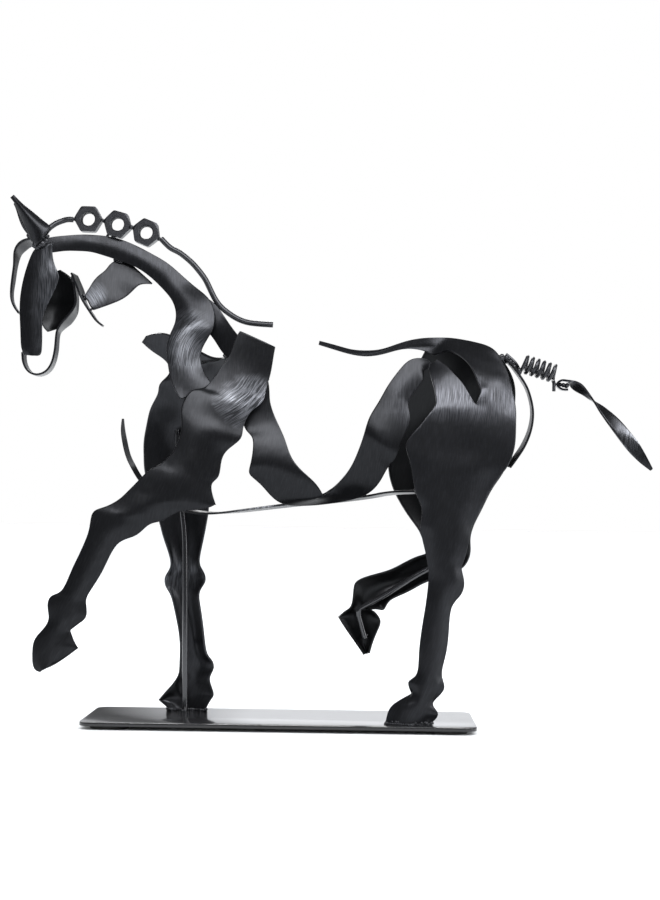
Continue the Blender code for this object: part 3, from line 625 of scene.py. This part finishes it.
def droplet_group(material, radius):
    """Geometry Nodes that set a flattened droplet on each point, realised, with its material."""
    group = bpy.data.node_groups.new("weld_droplets", "GeometryNodeTree")
    group.interface.new_socket("Geometry", in_out="INPUT", socket_type="NodeSocketGeometry")
    for label, value in (("Droplet Radius", radius), ("Least Size", 0.75), ("Most Size", 1.25)):
        socket = group.interface.new_socket(label, in_out="INPUT", socket_type="NodeSocketFloat")
        socket.default_value = value
    group.interface.new_socket("Geometry", in_out="OUTPUT", socket_type="NodeSocketGeometry")
    source = group.nodes.new("NodeGroupInput")
    result = group.nodes.new("NodeGroupOutput")
    drop = add_node(group, "GeometryNodeMeshIcoSphere", Radius=source.outputs["Droplet Radius"],
                    Subdivisions=3)
    size = add_node(group, "FunctionNodeRandomValue", {"data_type": "FLOAT"})
    group.links.new(source.outputs["Least Size"], size.inputs[2])
    group.links.new(source.outputs["Most Size"], size.inputs[3])
    size.inputs["Seed"].default_value = 11
    spin = add_node(group, "FunctionNodeRandomValue", {"data_type": "FLOAT_VECTOR"})
    spin.inputs[1].default_value = (2 * math.pi,) * 3
    spin.inputs["Seed"].default_value = 5
    flatten = add_node(group, "ShaderNodeCombineXYZ", X=size.outputs[1], Y=size.outputs[1], Z=0.8)
    copies = add_node(group, "GeometryNodeInstanceOnPoints", Points=source.outputs["Geometry"],
                      Instance=drop.outputs["Mesh"], Rotation=spin.outputs[0],
                      Scale=flatten.outputs[0])
    real = add_node(group, "GeometryNodeRealizeInstances", Geometry=copies.outputs[0])
    smooth = add_node(group, "GeometryNodeSetShadeSmooth", Geometry=real.outputs[0])
    painted = add_node(group, "GeometryNodeSetMaterial", Geometry=smooth.outputs[0])
    painted.inputs["Material"].default_value = material
    group.links.new(painted.outputs[0], result.inputs[0])
    return group


def droplets(name, places, radius, material):
    """Weld droplets of one size at the given places."""
    mesh = bpy.data.meshes.new(name)
    mesh.from_pydata(places, [], [])
    thing = shown(name + "_source", mesh)
    thing.modifiers.new("droplets", "NODES").node_group = droplet_group(material, radius)
    piece = shown(name, plain_mesh(thing))
    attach(piece, "root")


def welds(material):
    """Small droplets that tie each piece to the next one, and thicker knots over the wide gaps."""
    for name, pairs, radius in (("welds", WELDS, DROPLET), ("weld_knots", WELD_KNOTS, KNOT)):
        places = [place for first, second, count in pairs
                  for place in weld_places(first, second, count, radius)]
        if radius == KNOT:
            places += eye_of_tail_ribbon() + root_of_far_ear()
        droplets(name, places, radius, material)


def eye_of_tail_ribbon():
    """Places for the weld that fills the rolled eye at the tail ribbon's upper end."""
    low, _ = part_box("tail_ribbon")
    near_end = [place for place in outline_of("tail_ribbon")[0] if place.x < low[0] + 3.6 * MM]
    middle = sum(near_end, Vector()) / len(near_end)
    return [middle + Vector((step * MM, 0.4 * MM, -0.15 * step * MM))
            for step in (-0.1, 1.3, 2.6)]


def root_of_far_ear():
    """Places for the weld that ties the far ear across a gap to the strip over the forehead."""
    strip = BVHTree.FromPolygons(*outline_of("profile_strip"))
    reached = [(strip.find_nearest(place), place) for place in outline_of("far_ear")[0]]
    (on_strip, _, _, _), on_ear = min(reached, key=lambda item: item[0][3])
    return [on_ear.lerp(on_strip, share) for share in (0.0, 0.25, 0.5, 0.75, 1.0)]


def plate_and_feet():
    refined("base_plate", sprayed_plate_paint(), 0, edge=PLATE_EDGE)
    rubber = moulded_rubber()
    for side in ("front", "back"):
        for end in ("left", "right"):
            refined(f"foot_{side}_{end}", rubber, 2, edge=FOOT_EDGE)


def floor():
    """A pale studio floor that ends just in front of the statue."""
    material, _, shader = new_material("white_studio_floor")
    shader.inputs["Base Color"].default_value = srgb("b1b3b5")
    shader.inputs["Roughness"].default_value = 0.9
    shader.inputs["Specular IOR Level"].default_value = 0.1
    mesh = bpy.data.meshes.new("floor")
    mesh.from_pydata([(-FLOOR_REACH, FLOOR_FRONT, 0), (FLOOR_REACH, FLOOR_FRONT, 0),
                      (FLOOR_REACH, FLOOR_REACH, 0), (-FLOOR_REACH, FLOOR_REACH, 0)],
                     [], [(0, 1, 2, 3)])
    mesh.materials.append(material)
    shown("floor", mesh)


def area_light(name, place, aim, size, power):
    """A soft light; place, aim, width and height are in metres, and its power in watts."""
    light = bpy.data.lights.new(name, "AREA")
    light.shape = "RECTANGLE"
    light.size, light.size_y = size
    light.energy = power
    lamp = bpy.data.objects.new(name, light)
    lamp.location = place
    lamp.rotation_euler = (Vector(aim) - Vector(place)).to_track_quat("-Z", "Y").to_euler()
    bpy.context.scene.collection.objects.link(lamp)


def studio_world():
    """White to the camera; to the statue a dim room with a white panel low behind on the right."""
    world = bpy.data.worlds.new("studio")
    world.use_nodes = True
    bpy.context.scene.world = world
    tree = world.node_tree
    way = add_node(tree, "ShaderNodeSeparateXYZ",
                   n0=add_node(tree, "ShaderNodeTexCoord").outputs["Generated"])
    # A part of the direction (a vector of length 1), the range over which its share changes, and
    # the share before and after
    ranges = {
        "left": ("X", -0.21, -0.17, 1.0, 0.0),
        "right": ("X", -0.135, -0.055, 0.0, 1.0),
        "short of the end": ("X", 0.09, 0.15, 1.0, 0.15),
        "behind": ("Y", 0.3, 0.7, 0.0, 1.0),
        "low": ("Z", 0.16, 0.36, 1.0, 0.0),
    }
    share = {name: add_node(tree, "ShaderNodeMapRange", Value=way.outputs[part], From_Min=least,
                            From_Max=most, To_Min=first, To_Max=last).outputs["Result"]
             for name, (part, least, most, first, last) in ranges.items()}
    panel = add_node(tree, "ShaderNodeMath", {"operation": "MULTIPLY"},
                     n0=share["right"], n1=share["short of the end"])
    panel = add_node(tree, "ShaderNodeMath", {"operation": "MAXIMUM"},
                     n0=panel.outputs[0], n1=share["left"])
    for name in ("behind", "low"):
        panel = add_node(tree, "ShaderNodeMath", {"operation": "MULTIPLY"},
                         n0=panel.outputs[0], n1=share[name])
    shade = add_node(tree, "ShaderNodeMath", {"operation": "MULTIPLY"},
                     n0=share["behind"], n1=share["low"])
    dim = add_node(tree, "ShaderNodeMapRange", Value=shade.outputs[0], To_Min=ROOM, To_Max=DARKEST)
    light = add_node(tree, "ShaderNodeMath", {"operation": "MULTIPLY_ADD"}, n0=panel.outputs[0],
                     n1=PANEL, n2=dim.outputs["Result"])
    room = tree.nodes["Background"]
    tree.links.new(light.outputs[0], room.inputs["Strength"])
    room.inputs["Color"].default_value = srgb("f9fbff")
    path = add_node(tree, "ShaderNodeLightPath")
    white = add_node(tree, "ShaderNodeBackground", Color=srgb("ffffff"))
    soft = add_node(tree, "ShaderNodeBackground", Color=srgb("ffffff"), Strength=FLOOR_LIGHT)
    mirrored = add_node(tree, "ShaderNodeMixShader", Fac=path.outputs["Is Glossy Ray"],
                        n1=soft.outputs[0], n2=room.outputs[0])
    both = add_node(tree, "ShaderNodeMixShader", Fac=path.outputs["Is Camera Ray"],
                    n1=mirrored.outputs[0], n2=white.outputs[0])
    tree.links.new(both.outputs[0], tree.nodes["World Output"].inputs["Surface"])


def lights():
    area_light("softbox_right_front", (0.40, -0.83, 0.88), (0, 0, 0.12), (1.65, 0.54), 28)
    area_light("strip_light_right", (1.15, -0.30, 0.32), (0, 0, 0.10), (0.30, 0.60), 3.6)
    area_light("softbox_behind", (-0.35, 1.10, 0.95), (0, 0, 0.12), (1.30, 0.45), 12)


def camera():
    """The photograph's camera, square to the horse's side and rolled by the plate's slope."""
    plate_low, plate_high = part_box("base_plate")
    centre_x = (plate_low[0] + plate_high[0]) / 2
    eye = Vector((centre_x + AXIS_FROM_PLATE[0], -CAMERA_DISTANCE,
                  plate_high[2] + AXIS_FROM_PLATE[1]))
    data = bpy.data.cameras.new("camera")
    data.sensor_width = SENSOR
    focal_pixels = CAMERA_DISTANCE / METRES_PER_PIXEL
    data.lens = focal_pixels * SENSOR / PHOTO_HEIGHT
    data.shift_x = (PHOTO_WIDTH / 2 - PHOTO_AXIS[0]) / PHOTO_HEIGHT
    data.shift_y = (PHOTO_AXIS[1] - PHOTO_HEIGHT / 2) / PHOTO_HEIGHT
    data.clip_start, data.clip_end = 0.05, 20
    view = bpy.data.objects.new("camera", data)
    right = Vector((math.cos(CAMERA_ROLL), 0, math.sin(CAMERA_ROLL)))
    up = Vector((-math.sin(CAMERA_ROLL), 0, math.cos(CAMERA_ROLL)))
    turn = Matrix((right, up, Vector((0, -1, 0)))).transposed()
    view.matrix_world = Matrix.Translation(eye) @ turn.to_4x4()
    bpy.context.scene.collection.objects.link(view)
    bpy.context.scene.camera = view


bpy.context.scene.view_settings.view_transform = "Standard"
camera()
floor()
studio_world()
lights()
steel_pieces()
plate_and_feet()
